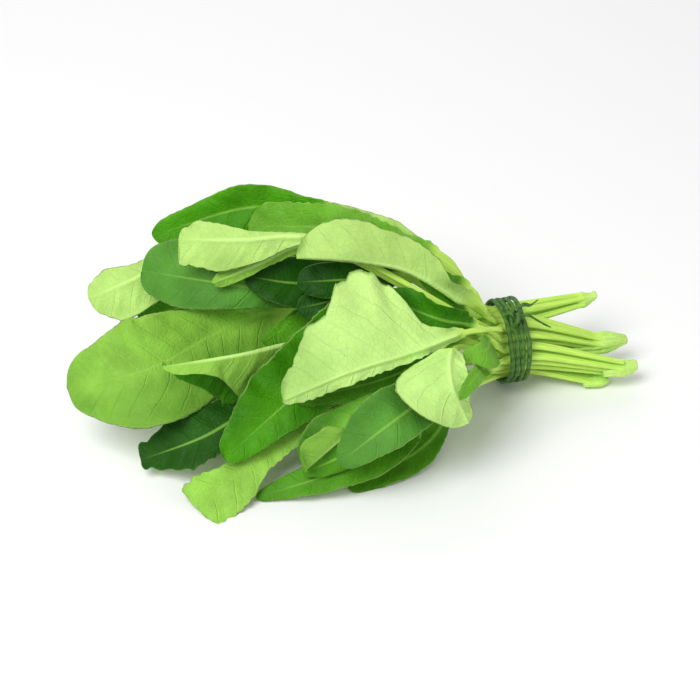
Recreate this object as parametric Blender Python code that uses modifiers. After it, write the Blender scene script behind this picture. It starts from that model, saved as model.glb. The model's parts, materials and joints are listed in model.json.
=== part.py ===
"""Bunch of spinach lying on its side, held by a twisted green band near the cut ends.

The bunch lies along X: crowns and cut ends at +X, leaf tips at -X. +Z is up and the
table is at z = 0. Sizes in the tables are millimetres and are scaled to metres at the end.
"""
import math

import bmesh
import bpy
import numpy as np

MM = 0.001

# ---- sizes of the whole bunch -------------------------------------------------------
TIE_Z = 24.0                 # height of the middle of the band
SLOT_Y, SLOT_Z = 5.4, 4.7    # pitch of the stalks where the band holds them
SLOT_ROWS = (4, 5, 6, 7, 6, 5, 4)
STALK_WIDE, STALK_THICK = 4.5, 3.9
CROWN_SHARE = 0.60           # stalks draw together towards their crown by this much
NECK_SHARE = 0.68            # and are this much slimmer between the band and the blades
MARGIN_THICK, BLADE_THICK, RIB_THICK = 0.7, 0.9, 1.9
CROWN_ROWS, BAND_ROWS, NECK_ROWS = (0.0, 0.5), (0.0,), (0.0, 0.12, 0.32, 0.56, 0.80)
BLADE_ROWS = (0.0, 0.09, 0.22, 0.36, 0.50, 0.64, 0.78, 0.90, 1.0)
ACROSS = (-1.0, -0.5, 0.0, 0.5, 1.0)
STATIONS = (0.0, 0.1, 0.3, 0.5, 0.7, 0.9)
LEAN = np.array([-0.237, -0.774, 0.588])    # leaves are laid over one another this way
SIDEWAYS = np.array([0.956, -0.292, 0.0])
LAY_GAP, CELL = 0.5, 1.0     # gap between leaves, and size of a cell of the height map
FLOOR_GAP = 0.3              # gap between the table and the leaves on it
HELD_HALF = 7.0              # stalks run straight this far each way from the band's middle
STEEPEST, SMOOTHINGS = 0.9, 30   # rise per millimetre beyond the band, and passes over a leaf
CURVE_STEPS = 24             # steps between two points of a smooth line
TIP_START = 0.86             # where a blade starts to round off

CROWNS = {                   # centre (x, y, z) and half size of each plant's base
    "top": ((48, 14, 30), (5, 6, 5)),
    "middle": ((54, -6, 16), (9, 7, 7)),
    "front": ((56, -23, 11), (5, 5.5, 5)),
    "low": ((44, -19, 3.0), (4, 5, 2.7)),
    "back": ((47, 9, 6.4), (5, 6.5, 6)),
}

# ---- band: loops (x, extra radius, sideways wander), knot and loose ends ------------
BAND_RADIUS, BAND_WIDE, BAND_THICK = 20.6, 2.6, 1.9
BAND_LOOPS = ((4.2, 0.0, 0.4), (1.2, 0.0, 0.4), (-1.8, 0.0, 0.4), (-4.8, 0.0, 0.4))
KNOT_ANGLE, KNOT_X, KNOT_RADIUS, KNOT_SIZE = 117, -1.5, 26.0, (4.4, 6.0, 3.6)
TAIL_WIDE, TAIL_THICK = 3.0, 0.9
BAND_TAILS = (((7, -13, 44.5), (11, -14, 41.5), (15, -16, 39)),
              ((7, -7, 47.0), (11, -4, 44.5), (15, 0, 43)))

# ---- leaves, from the ones lying on the table to the ones on top -------------------
# rib: points of the midrib from the leaf base to its tip
# left, right: half widths at 0.1, 0.3, 0.5, 0.7 and 0.9 of the blade, seen on the upper
# face from base to tip; roll turns the blade about its rib, fold and curl are degrees
LEAVES = [
    dict(name="leaf_rest_short", slot=(1, 4), crown="back", roll=(10, 0),
         rib=((-40, 32, 9), (-76, 54, 5), (-108, 72, 1)),
         left=(10, 18, 22, 20, 12), right=(10, 18, 22, 20, 12)),
    dict(name="leaf_rest_back", slot=(0, 3), crown="back", roll=(0, 0),
         rib=((-75, 24, 9), (-120, 46, 5), (-161, 66, 1)),
         left=(12, 20, 25, 22, 14), right=(12, 20, 25, 22, 14)),
    dict(name="leaf_rest_mid", slot=(1, 3), crown="back", roll=(0, 0),
         rib=((-70, 4, 7), (-123, 6, 8), (-171, 15, 2)),
         left=(12, 20, 26, 24, 14), right=(12, 20, 26, 24, 14)),
    dict(name="leaf_back_low", slot=(2, 5), crown="back", roll=(10, 10),
         rib=((-50, 42, 20), (-88, 64, 20), (-122, 80, 14)),
         left=(10, 16, 22, 20, 12), right=(10, 16, 22, 20, 12)),
    dict(name="leaf_back_mid", slot=(3, 6), crown="back", roll=(20, 10),
         rib=((-58, 46, 36), (-98, 70, 40), (-138, 84, 32)),
         left=(12, 20, 25, 22, 14), right=(12, 20, 25, 22, 14)),
    dict(name="leaf_back_pale", slot=(4, 5), crown="top", roll=(120, 120),
         rib=((-32, 27, 60), (-64, 43, 76), (-97, 68, 80)),
         left=(5, 10, 9, 8, 7), right=(8, 12, 14, 12, 8)),
    dict(name="leaf_front_dark", slot=(0, 2), crown="low", roll=(-30, -30),
         rib=((-39, -33, 16), (-60, -50, 9), (-101, -62, 1)),
         left=(3, 6, 9, 8, 5), right=(3, 8, 10, 9, 7)),
    dict(name="leaf_front_long", slot=(0, 1), crown="low", roll=(-35, -35),
         rib=((-61, -45, 21), (-96, -60, 15), (-145, -56, 2)),
         left=(8, 11, 9, 7, 4), right=(5, 9, 10, 8, 5)),
    dict(name="leaf_front_sliver", slot=(0, 0), crown="low", roll=(-60, -60),
         rib=((-89, -54, 25), (-105, -59, 20), (-123, -59, 14)),
         left=(3, 6, 7, 6, 4), right=(3, 6, 7, 6, 4)),
    dict(name="leaf_low_tip", slot=(1, 2), crown="back", roll=(-25, -35),
         rib=((-135, -20, 25), (-164, -27, 20), (-192, -20, 8)),
         left=(11, 11, 12, 11, 6), right=(10, 12, 14, 12, 8)),
    dict(name="leaf_low_pale", slot=(2, 2), crown="back", roll=(-25, -35),
         rib=((-109, -37, 27), (-138, -43, 18), (-173, -58, 3)),
         left=(6, 9, 11, 13, 12), right=(7, 6, 6, 8, 13)),
    dict(name="leaf_left_sliver", slot=(2, 4), crown="back", roll=(-50, -50),
         rib=((-110, 46, 41), (-144, 54, 39), (-175, 58, 35)),
         left=(8, 12, 12, 9, 5), right=(8, 12, 12, 9, 5)),
    dict(name="leaf_left_pale", slot=(3, 5), crown="back", roll=(150, 140),
         rib=((-154, 67, 58), (-175, 60, 56), (-198, 62, 48)),
         left=(6, 7, 9, 11, 8), right=(14, 15, 16, 17, 11)),
    dict(name="leaf_left_big", slot=(2, 3), crown="back", roll=(-35, -40),
         rib=((-102, 32, 41), (-142, 21, 44), (-181, 3, 43), (-219, 13, 33)),
         left=(15, 22, 27, 29, 18), right=(4, 11, 21, 26, 17)),
    dict(name="leaf_inner_a", slot=(4, 4), crown="top", roll=(-40, -40),
         rib=((-83, 32, 44), (-101, 21, 44), (-123, 11, 41)),
         left=(6, 8, 9, 8, 5), right=(3, 4, 5, 4, 3)),
    dict(name="leaf_inner_b", slot=(3, 4), crown="back", roll=(-40, -40),
         rib=((-81, 21, 45), (-99, 13, 45), (-116, 6, 42)),
         left=(6, 8, 9, 8, 5), right=(6, 7, 8, 8, 5)),
    dict(name="leaf_top_far", slot=(5, 4), crown="top", roll=(-60, -60),
         rib=((-76, 47, 78), (-110, 64, 84), (-162, 74, 71)),
         left=(14, 18, 19, 15, 9), right=(6, 10, 12, 9, 7)),
    dict(name="leaf_blue", slot=(3, 3), crown="middle", roll=(-45, -50),
         rib=((-96, 29, 51), (-133, 30, 64), (-170, 60, 60)),
         left=(8, 10, 13, 15, 12), right=(13, 16, 19, 20, 16)),
    dict(name="leaf_top_mid", slot=(6, 3), crown="top", roll=(-60, -60),
         rib=((-33, 21, 64), (-73, 37, 80), (-117, 58, 78)),
         left=(13, 14, 15, 15, 12), right=(4, 9, 11, 12, 12)),
    dict(name="leaf_shade_a", slot=(5, 3), crown="top", roll=(-45, -45),
         rib=((-77, 23, 61), (-102, 22, 64), (-125, 32, 66)),
         left=(14, 14, 13, 11, 7), right=(11, 12, 13, 12, 8)),
    dict(name="leaf_shade_b", slot=(4, 3), crown="middle", roll=(-45, -45),
         rib=((-69, 27, 50), (-89, 11, 58), (-105, 11, 57)),
         left=(5, 8, 9, 8, 6), right=(5, 8, 9, 8, 6)),
    dict(name="leaf_rolled", slot=(1, 1), crown="front", roll=(180, 180),
         rib=((-105, -9, 50), (-144, -22, 60), (-178, -18, 58)),
         left=(12, 24, 32, 27, 12), right=(22, 24, 14, 5, 5),
         fold_left=(70, 75), fold_right=(85, 80)),
    dict(name="leaf_bright", slot=(3, 2), crown="middle", roll=(-50, -40),
         rib=((-59, 5, 46), (-111, -28, 41), (-157, -45, 20)),
         left=(18, 18, 16, 12, 8), right=(19, 22, 22, 20, 11)),
    dict(name="leaf_shade_c", slot=(4, 2), crown="middle", roll=(-50, -50),
         rib=((-51, 17, 62), (-79, 9, 70), (-104, 14, 70)),
         left=(7, 8, 9, 9, 7), right=(6, 7, 8, 9, 8)),
    dict(name="leaf_mid_band", slot=(2, 1), crown="front", roll=(-55, -55),
         rib=((-26, -16, 39), (-76, -38, 44), (-120, -39, 41)),
         left=(3, 5, 7, 7, 5), right=(7, 8, 8, 7, 4)),
    dict(name="leaf_folded", slot=(1, 0), crown="front", roll=(30, 30),
         rib=((-70, -46, 43), (-97, -55, 33), (-123, -61, 18)),
         left=(2, 2, 5, 12, 12), right=(6, 9, 12, 15, 11),
         fold_left=(60, 70), fold_right=(60, 70)),
    dict(name="leaf_grey", slot=(2, 0), crown="front", roll=(-40, -40),
         rib=((-57, -46, 35), (-81, -64, 39), (-108, -67, 23)),
         left=(11, 12, 12, 10, 7), right=(11, 14, 16, 14, 8)),
    dict(name="leaf_neck_a", slot=(5, 2), crown="top", roll=(-55, -55),
         rib=((-18, 20, 42), (-37, 14, 65), (-58, 27, 75)),
         left=(3, 6, 7, 6, 4), right=(3, 5, 6, 6, 4)),
    dict(name="leaf_neck_b", slot=(6, 2), crown="top", roll=(-55, -55),
         rib=((-17, 12, 39), (-33, 3, 59), (-47, 13, 71)),
         left=(3, 6, 8, 6, 4), right=(3, 6, 8, 7, 5)),
    dict(name="leaf_curled", slot=(4, 1), crown="middle", roll=(120, 120),
         rib=((-93, 31, 78), (-120, 27, 75), (-143, 25, 70)),
         left=(2, 2, 2, 2, 4), right=(4, 4, 3, 4, 4)),
    dict(name="leaf_pale_upper", slot=(5, 1), crown="middle", roll=(125, 125),
         rib=((-93, 29, 82), (-125, 31, 87), (-154, 44, 85)),
         left=(2, 3, 5, 8, 10), right=(4, 9, 13, 16, 12)),
    dict(name="leaf_ridge", slot=(6, 1), crown="middle", roll=(40, 35),
         rib=((-21, -1, 49), (-52, 6, 72), (-78, 11, 79), (-102, 21, 79)),
         left=(3, 7, 10, 13, 11), right=(4, 9, 13, 16, 10),
         fold_left=(60, 75), fold_right=(60, 72)),
    dict(name="leaf_frill", slot=(5, 0), crown="middle", roll=(-60, -60),
         rib=((-19, -4, 38), (-41, -9, 51), (-62, 7, 57)),
         left=(3, 5, 6, 8, 7), right=(4, 9, 11, 9, 8),
         curl_right=(90, 130, 60, 20, 0)),
    dict(name="leaf_hero", slot=(6, 0), crown="middle", roll=(122, 122),
         rib=((-32, -22, 50), (-63, -36, 55), (-97, -44, 56), (-129, -47, 49)),
         left=(5, 29, 42, 32, 13), right=(3, 4, 5, 6, 5)),
    dict(name="leaf_hanging", slot=(3, 1), crown="front", roll=(180, 175),
         rib=((-42, -35, 51), (-51, -58, 49), (-46, -68, 33)),
         left=(8, 20, 26, 20, 12), right=(6, 8, 11, 14, 10)),
    dict(name="leaf_collar_a", slot=(3, 0), crown="front", roll=(-40, -40),
         rib=((-21, -28, 32), (-39, -56, 49), (-49, -64, 45)),
         left=(3, 4, 4, 4, 3), right=(3, 4, 4, 4, 3)),
    dict(name="leaf_collar_b", slot=(4, 0), crown="front", roll=(-50, -50),
         rib=((-16, -17, 38), (-29, -41, 52), (-40, -43, 54)),
         left=(4, 8, 10, 9, 5), right=(3, 5, 6, 5, 3)),
]

# linear leaf colours, taken in turn so that neighbours can be told apart
GREENS = ((0.06, 0.22, 0.02), (0.11, 0.32, 0.03), (0.20, 0.42, 0.07), (0.34, 0.58, 0.15))


# ---- curves and blades --------------------------------------------------------------
def slot_centre(row, place):
    return np.array([(place - (SLOT_ROWS[row] - 1) / 2) * SLOT_Y, (row - 3) * SLOT_Z])


def smooth_line(points, fine=CURVE_STEPS):
    """Curve through the points (centripetal), with `fine` steps between two of them."""
    pts = np.asarray(points, float)
    pts = np.vstack([2 * pts[0] - pts[1], pts, 2 * pts[-1] - pts[-2]])
    out = []
    for k in range(1, len(pts) - 2):
        a, b, c, d = pts[k - 1:k + 3]
        t1 = np.linalg.norm(b - a) ** 0.5
        t2 = t1 + np.linalg.norm(c - b) ** 0.5
        t3 = t2 + np.linalg.norm(d - c) ** 0.5
        t = np.linspace(t1, t2, fine, endpoint=False)[:, None]
        ab = (t1 - t) / t1 * a + t / t1 * b
        bc = (t2 - t) / (t2 - t1) * b + (t - t1) / (t2 - t1) * c
        cd = (t3 - t) / (t3 - t2) * c + (t - t2) / (t3 - t2) * d
        abc = (t2 - t) / t2 * ab + t / t2 * bc
        bcd = (t3 - t) / (t3 - t1) * bc + (t - t1) / (t3 - t1) * cd
        out.append((t2 - t) / (t2 - t1) * abc + (t - t1) / (t2 - t1) * bcd)
    return np.vstack(out + [pts[-2][None]])


def spaced(line, shares):
    steps = np.concatenate([[0], np.cumsum(np.linalg.norm(np.diff(line, axis=0), axis=1))])
    at = np.asarray(shares) * steps[-1]
    return np.stack([np.interp(at, steps, line[:, k]) for k in range(3)], 1)


def along(values, t):
    values = np.asarray(values, float)
    return np.interp(t, np.linspace(0, 1, len(values)), values)


def half_width(widths, t):
    """Half width of a blade at t, rounded off at the tip and never less than the stalk."""
    x, y = np.array(STATIONS), np.concatenate([[STALK_WIDE / 2], widths])
    h = np.diff(x)
    m = np.diff(y) / h
    d = np.zeros(len(y))
    d[0], d[-1] = m[0], m[-1]
    for k in range(1, len(y) - 1):
        if m[k - 1] * m[k] > 0:
            w1, w2 = 2 * h[k] + h[k - 1], h[k] + 2 * h[k - 1]
            d[k] = (w1 + w2) / (w1 / m[k - 1] + w2 / m[k])
    tt = np.minimum(t, x[-1])
    k = np.clip(np.searchsorted(x, tt, side="right") - 1, 0, len(x) - 2)
    s = (tt - x[k]) / h[k]
    value = (y[k] * (1 + 2 * s) * (1 - s) ** 2 + d[k] * h[k] * s * (1 - s) ** 2
             + y[k + 1] * s * s * (3 - 2 * s) + d[k + 1] * h[k] * s * s * (s - 1))
    value = value * np.sqrt(np.clip(1 - np.clip((t - TIP_START) / (1 - TIP_START), 0, 1) ** 2, 0, 1))
    return np.maximum(value, np.where(t < 0.5, STALK_WIDE / 2, 0.8))


def leaf_surface(leaf, crown_point):
    """Mid surface of stalk and blade: rows from the crown to the tip, points across."""
    y, z = slot_centre(*leaf["slot"])
    held = [np.array([x, y, TIE_Z + z]) for x in (HELD_HALF, 2, -2, -HELD_HALF)]
    line = smooth_line([np.array(crown_point, float)] + held + [np.array(p, float) for p in leaf["rib"]])
    into, out_of, base = (CURVE_STEPS * k for k in (1, 4, 5))    # band in, band out, leaf base
    stem = np.vstack([spaced(line[:into + 1], CROWN_ROWS), spaced(line[into:out_of + 1], BAND_ROWS),
                      spaced(line[out_of:base + 1], NECK_ROWS)])
    centre = np.vstack([stem, spaced(line[base:], BLADE_ROWS)])
    t = np.concatenate([np.zeros(len(stem)), BLADE_ROWS])
    ahead = np.gradient(centre, axis=0)
    ahead /= np.linalg.norm(ahead, axis=1)[:, None]
    up = np.array([0, 0, 1.0]) - ahead[:, 2:3] * ahead
    up /= np.linalg.norm(up, axis=1)[:, None]
    across = np.cross(ahead, up)
    turn = np.concatenate([np.zeros(len(stem) - len(NECK_ROWS)), NECK_ROWS, np.ones(len(BLADE_ROWS))])
    roll = np.radians(along(leaf["roll"], t)) * turn
    normal = np.cos(roll)[:, None] * up + np.sin(roll)[:, None] * across
    left = np.cross(normal, ahead)
    slim = np.interp(np.arange(len(centre)), (0, 2, 3, 4), (CROWN_SHARE, 1, 1, NECK_SHARE))
    slim = np.where(t > 0, 1, slim)
    half = {}
    for side in ("left", "right"):
        blade = half_width(leaf[side], t)
        half[side] = np.where(t > 0, blade, STALK_WIDE / 2 * slim)
    grid = np.zeros((len(centre), len(ACROSS), 3))
    for j, v in enumerate(ACROSS):
        side = "left" if v > 0 else "right"
        fold = np.radians(along(leaf.get("fold_" + side, (8, 8)), t))
        curl = np.radians(along(leaf.get("curl_" + side, (0, 0)), t))
        opened = np.clip((half[side] - STALK_WIDE / 2) / 9, 0, 1)
        fold, curl = fold * opened, curl * opened
        out = abs(v) * half[side]
        bend = curl / np.maximum(half[side], 1e-6)
        flat = np.abs(bend) < 1e-5
        safe = np.where(flat, 1, bend)
        x = np.where(flat, np.cos(fold) * out, (np.sin(fold + safe * out) - np.sin(fold)) / safe)
        h = np.where(flat, np.sin(fold) * out, (np.cos(fold) - np.cos(fold + safe * out)) / safe)
        grid[:, j] = centre + (1 if v > 0 else -1) * x[:, None] * left + h[:, None] * normal
    stalk = np.where(t > 0, np.clip(1 - t / 0.12, 0, 1) * NECK_SHARE, slim)
    profile = np.array([0.45, 0.85, 1.0, 0.85, 0.45])
    blade = np.stack([np.full(len(t), MARGIN_THICK), np.full(len(t), BLADE_THICK),
                      RIB_THICK + (BLADE_THICK - RIB_THICK) * t,
                      np.full(len(t), BLADE_THICK), np.full(len(t), MARGIN_THICK)], 1)
    thick = np.maximum(stalk[:, None] * profile * STALK_THICK, np.where(t > 0, 1, 0)[:, None] * blade)
    return grid, thick


# ---- laying the leaves over one another ---------------------------------------------
def patch_samples(quad, thick):
    """Points filling one patch of a leaf closely enough to touch every cell it covers."""
    a, b, c, d = quad
    m = int(max(np.linalg.norm((b - a)[:2]), np.linalg.norm((d - c)[:2])) / CELL * 1.3) + 2
    n = int(max(np.linalg.norm((c - a)[:2]), np.linalg.norm((d - b)[:2])) / CELL * 1.3) + 2
    f, g = np.meshgrid(np.linspace(0, 1, m), np.linspace(0, 1, n), indexing="ij")
    share = np.stack([(1 - f) * (1 - g), f * (1 - g), (1 - f) * g, f * g], -1).reshape(-1, 4)
    pts = share @ np.stack([a, b, c, d])
    face = np.cross(d - a, c - b)
    square = max(abs(face[2]) / max(np.linalg.norm(face), 1e-9), 0.7)   # 1 facing LEAN
    return np.floor(pts[:, :2] / CELL).astype(int), pts[:, 2], share @ thick / 2 / square, share


def lay_over(surfaces):
    """Push each leaf outwards just far enough to lie over those already placed."""
    upward = np.cross(LEAN, SIDEWAYS)
    frame = np.stack([SIDEWAYS, upward, LEAN])
    top, placed = {}, []
    for grid, thick in surfaces:
        rows, places = grid.shape[:2]
        seen = grid @ frame.T
        patches = []
        need = np.zeros((rows, places))
        for i in range(rows - 1):
            for j in range(places - 1):
                corners = ((i, j), (i + 1, j), (i, j + 1), (i + 1, j + 1))
                cells, depth, half, share = patch_samples(np.stack([seen[c] for c in corners]),
                                                          np.array([thick[c] for c in corners]))
                patches.append((corners, cells, depth, half, share))
                lack = 0.0
                for (a, b), d, h in zip(cells.tolist(), depth, half):
                    below = max(top.get((a + p, b + q), -1e9) for p in (-1, 0, 1) for q in (-1, 0, 1))
                    lack = max(lack, below + LAY_GAP - d + h)
                for c in corners:
                    need[c] = max(need[c], lack)
        table = (thick / 2 + FLOOR_GAP - grid[..., 2]) / LEAN[2]
        free = np.clip((-grid[..., 0] - HELD_HALF) / 2, 0, 1)     # 0 where the band holds it
        steepest = STEEPEST * np.clip(-grid[..., 0] - HELD_HALF, 0, None)
        need = np.maximum(need, table) * free
        need[need < 0] = 0
        lift = need.copy()
        for _ in range(SMOOTHINGS):
            soft = lift.copy()
            soft[1:-1] = (lift[:-2] + 2 * lift[1:-1] + lift[2:]) / 4
            soft[-1] = (lift[-1] + lift[-2]) / 2
            wide = soft.copy()
            wide[:, 1:-1] = (soft[:, :-2] + 2 * soft[:, 1:-1] + soft[:, 2:]) / 4
            wide[:, 0] = (soft[:, 0] + soft[:, 1]) / 2
            wide[:, -1] = (soft[:, -1] + soft[:, -2]) / 2
            lift = np.maximum(need, np.minimum(wide, steepest))
        placed.append(grid + lift[..., None] * LEAN)
        for corners, cells, depth, half, share in patches:
            raised = depth + share @ np.array([lift[c] for c in corners]) + half
            for (a, b), d in zip(cells.tolist(), raised):
                if d > top.get((a, b), -1e9):
                    top[(a, b)] = d
    return placed


# ---- meshes -------------------------------------------------------------------------
def material(name, colour, rough=0.45):
    mat = bpy.data.materials.new(name)
    mat.use_nodes = True
    shader = mat.node_tree.nodes["Principled BSDF"]
    shader.inputs["Base Color"].default_value = (*colour, 1)
    shader.inputs["Roughness"].default_value = rough
    mat.diffuse_color = (*colour, 1)
    return mat


def add_object(name, verts, faces, mat):
    mesh = bpy.data.meshes.new(name)
    mesh.from_pydata([tuple(float(c) * MM for c in v) for v in verts], [], faces)
    mesh.materials.append(mat)
    obj = bpy.data.objects.new(name, mesh)
    bunch.objects.link(obj)
    return obj


def outward(obj):
    work = bmesh.new()
    work.from_mesh(obj.data)
    bmesh.ops.recalc_face_normals(work, faces=work.faces)
    work.to_mesh(obj.data)
    work.free()


def leaf_object(leaf, grid, thick, mat):
    rows, places = grid.shape[:2]
    faces = [(i * places + j, (i + 1) * places + j, (i + 1) * places + j + 1, i * places + j + 1)
             for i in range(rows - 1) for j in range(places - 1)]
    obj = add_object(leaf["name"], grid.reshape(-1, 3), faces, mat)
    group = obj.vertex_groups.new(name="thickness")
    for k, share in enumerate((thick / STALK_THICK).ravel()):
        group.add([k], float(share), "REPLACE")
    skin = obj.modifiers.new("skin", "SOLIDIFY")
    skin.thickness = STALK_THICK * MM
    skin.offset = 0
    skin.vertex_group = "thickness"
    skin.use_even_offset = False
    return obj


def ring_faces(rings, around):
    faces = [(i * around + j, i * around + (j + 1) % around,
              (i + 1) * around + (j + 1) % around, (i + 1) * around + j)
             for i in range(rings - 1) for j in range(around)]
    return faces + [tuple(range(around))[::-1], tuple((rings - 1) * around + j for j in range(around))]


def crown_object(name, centre, size, mat):
    """Stubby base of one plant: the stalks end against its flat side."""
    sections = ((-1.0, 0.80), (-0.3, 1.0), (0.5, 0.86), (1.0, 0.50))
    verts = []
    for along_x, share in sections:
        for k in range(12):
            angle = 2 * math.pi * k / 12
            verts.append((centre[0] + along_x * size[0], centre[1] + size[1] * share * math.cos(angle),
                          centre[2] + size[2] * share * math.sin(angle)))
    obj = add_object(name, verts, ring_faces(len(sections), 12), mat)
    outward(obj)
    return obj


def loop_object(name, x, swell, wave, mat):
    """One turn of the band: a flattened strand closed round the stalks."""
    steps, around = 40, 8
    verts = []
    for i in range(steps):
        angle = 2 * math.pi * i / steps
        radius = BAND_RADIUS + swell
        middle = x + wave * math.sin(angle + 0.7)
        for k in range(around):
            turn = 2 * math.pi * k / around
            r = radius + BAND_THICK / 2 * math.sin(turn)
            verts.append((middle + BAND_WIDE / 2 * math.cos(turn), r * math.cos(angle),
                          TIE_Z + r * math.sin(angle)))
    faces = [(i * around + j, i * around + (j + 1) % around,
              (i + 1) % steps * around + (j + 1) % around, (i + 1) % steps * around + j)
             for i in range(steps) for j in range(around)]
    obj = add_object(name, verts, faces, mat)
    outward(obj)
    return obj


def knot_object(mat):
    """Lumpy knot sitting on the band, a little towards the front of the top."""
    mesh = bmesh.new()
    bmesh.ops.create_icosphere(mesh, subdivisions=2, radius=1)
    angle = math.radians(KNOT_ANGLE)
    out = np.array([0, math.cos(angle), math.sin(angle)])
    side = np.array([0, math.sin(angle), -math.cos(angle)])
    verts = []
    for v in mesh.verts:
        lump = 1 + 0.10 * math.sin(5 * v.co.x + 3 * v.co.y) * math.cos(4 * v.co.z)
        p = (np.array([1.0, 0, 0]) * v.co.x * KNOT_SIZE[0] + side * v.co.y * KNOT_SIZE[1]
             + out * v.co.z * KNOT_SIZE[2]) * lump
        verts.append(np.array([KNOT_X, 0, TIE_Z]) + out * KNOT_RADIUS + p)
    faces = [[v.index for v in face.verts] for face in mesh.faces]
    mesh.free()
    obj = add_object("band_knot", verts, faces, mat)
    outward(obj)
    return obj


def tail_object(name, path, mat):
    """Loose end of the band: a flat strip that narrows to its tip."""
    line = spaced(smooth_line([np.array(p, float) for p in path], 12), np.linspace(0, 1, 9))
    ahead = np.gradient(line, axis=0)
    ahead /= np.linalg.norm(ahead, axis=1)[:, None]
    side = np.cross(ahead, np.array([0, -0.3, 1.0]))
    side /= np.linalg.norm(side, axis=1)[:, None]
    face_up = np.cross(side, ahead)
    verts = []
    for i in range(len(line)):
        narrow = 1 - 0.75 * (i / (len(line) - 1)) ** 2
        for k in range(6):
            turn = 2 * math.pi * k / 6
            verts.append(line[i] + side[i] * math.cos(turn) * TAIL_WIDE / 2 * narrow
                         + face_up[i] * math.sin(turn) * TAIL_THICK / 2)
    obj = add_object(name, verts, ring_faces(len(line), 6), mat)
    outward(obj)
    return obj


# ---- build --------------------------------------------------------------------------
for old in list(bpy.data.objects):
    bpy.data.objects.remove(old, do_unlink=True)
bunch = bpy.data.collections.new("spinach_bunch")
bpy.context.scene.collection.children.link(bunch)

surfaces = []
for leaf in LEAVES:
    mates = np.mean([slot_centre(*other["slot"]) for other in LEAVES if other["crown"] == leaf["crown"]], 0)
    centre, size = CROWNS[leaf["crown"]]
    spread = (slot_centre(*leaf["slot"]) - mates) * CROWN_SHARE
    end = (centre[0] - size[0] - 0.8, centre[1] + spread[0], centre[2] + spread[1])
    surfaces.append(leaf_surface(leaf, end))
placed = lay_over(surfaces)
for number, (leaf, (grid, thick), where) in enumerate(zip(LEAVES, surfaces, placed)):
    colour = GREENS[number % 4]
    leaf_object(leaf, where, thick, material(leaf["name"] + "_green", colour))

crown_mat = material("crown_pale", (0.42, 0.55, 0.16), 0.5)
for name, (centre, size) in CROWNS.items():
    crown_object("crown_" + name, centre, size, crown_mat)

band_mat = material("band_green", (0.05, 0.17, 0.03), 0.55)
for number, (x, swell, wave) in enumerate(BAND_LOOPS, 1):
    loop_object("band_loop_%d" % number, x, swell, wave, band_mat)
knot_object(band_mat)
for number, path in enumerate(BAND_TAILS, 1):
    tail_object("band_tail_%d" % number, path, band_mat)

# bottom centre of the whole bunch at the origin
bpy.context.view_layer.update()
graph = bpy.context.evaluated_depsgraph_get()
corners = np.vstack([[v.co[:] for v in obj.evaluated_get(graph).data.vertices] for obj in bunch.objects])
low, high = corners.min(0), corners.max(0)
shift = -np.array([(low[0] + high[0]) / 2, (low[1] + high[1]) / 2, low[2]])
for obj in bunch.objects:
    for vertex in obj.data.vertices:
        vertex.co = [a + b for a, b in zip(vertex.co, shift)]
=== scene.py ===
import json
import math

import bpy
import numpy as np
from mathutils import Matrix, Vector


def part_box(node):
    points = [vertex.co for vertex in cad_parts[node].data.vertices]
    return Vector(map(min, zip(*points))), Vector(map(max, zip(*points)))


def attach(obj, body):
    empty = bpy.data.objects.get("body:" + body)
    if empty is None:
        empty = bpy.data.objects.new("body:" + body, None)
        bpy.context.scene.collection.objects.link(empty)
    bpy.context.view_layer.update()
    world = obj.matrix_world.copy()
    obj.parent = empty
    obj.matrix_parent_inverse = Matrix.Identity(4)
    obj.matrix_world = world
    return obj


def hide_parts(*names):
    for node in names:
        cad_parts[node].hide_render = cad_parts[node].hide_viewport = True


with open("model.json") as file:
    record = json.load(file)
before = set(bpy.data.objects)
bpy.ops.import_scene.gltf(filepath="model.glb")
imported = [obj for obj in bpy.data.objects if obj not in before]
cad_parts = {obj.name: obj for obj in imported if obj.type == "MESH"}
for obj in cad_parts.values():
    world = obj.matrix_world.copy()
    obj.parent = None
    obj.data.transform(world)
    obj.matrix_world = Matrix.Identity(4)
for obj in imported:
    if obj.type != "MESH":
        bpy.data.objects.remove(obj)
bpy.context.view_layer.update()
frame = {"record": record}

mm = 0.001

# the bunch is worked out in millimetres about the middle of the band: x runs towards the cut ends
layout = dict(
    bandHeight=24.0,                     # middle of the band above the table
    rowStep=4.7, placeStep=5.4,          # pitch of the stalks inside the band
    rows=(4, 5, 6, 7, 6, 5, 4),
    stalkWide=4.5, stalkThick=3.9,
    crownShare=0.60, neckShare=0.68,     # stalks slim down towards the crown and the blade
    gap=0.5, cell=1.0,                   # between leaves, and the size of a cell when they are laid over
    heldHalf=7,                          # stalks run straight this far from the band's middle
    curveSteps=24,                       # points on a rib's curve between two of its stations
    tipStart=0.86,                       # where a blade starts to round off
    marginThick=0.7, bladeThick=0.9, ribThick=1.9, tableGap=0.3,
    steepest=0.9, smoothings=30,
)
lean = np.array([-0.237, -0.774, 0.588])     # leaves lie over one another this way
sideways = np.array([0.956, -0.292, 0.0])
upward = np.cross(lean, sideways)

loopMiddles = [(a + b) / 2 for a, b in (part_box("band_loop_%d" % k) for k in (1, 2, 3, 4))]
bandMiddle = sum(loopMiddles, Vector()) / 4
origin = np.array(bandMiddle) + np.array([0.3 * mm, 0, -layout["bandHeight"] * mm])

crowns = {          # middle and half size of each plant's base, as the frame has them
    name: ((np.array(a) + np.array(b)) / 2 / mm - origin / mm, (np.array(b) - np.array(a)) / 2 / mm)
    for name, (a, b) in ((n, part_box("crown_" + n)) for n in ("top", "middle", "front", "low", "back"))
}

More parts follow.
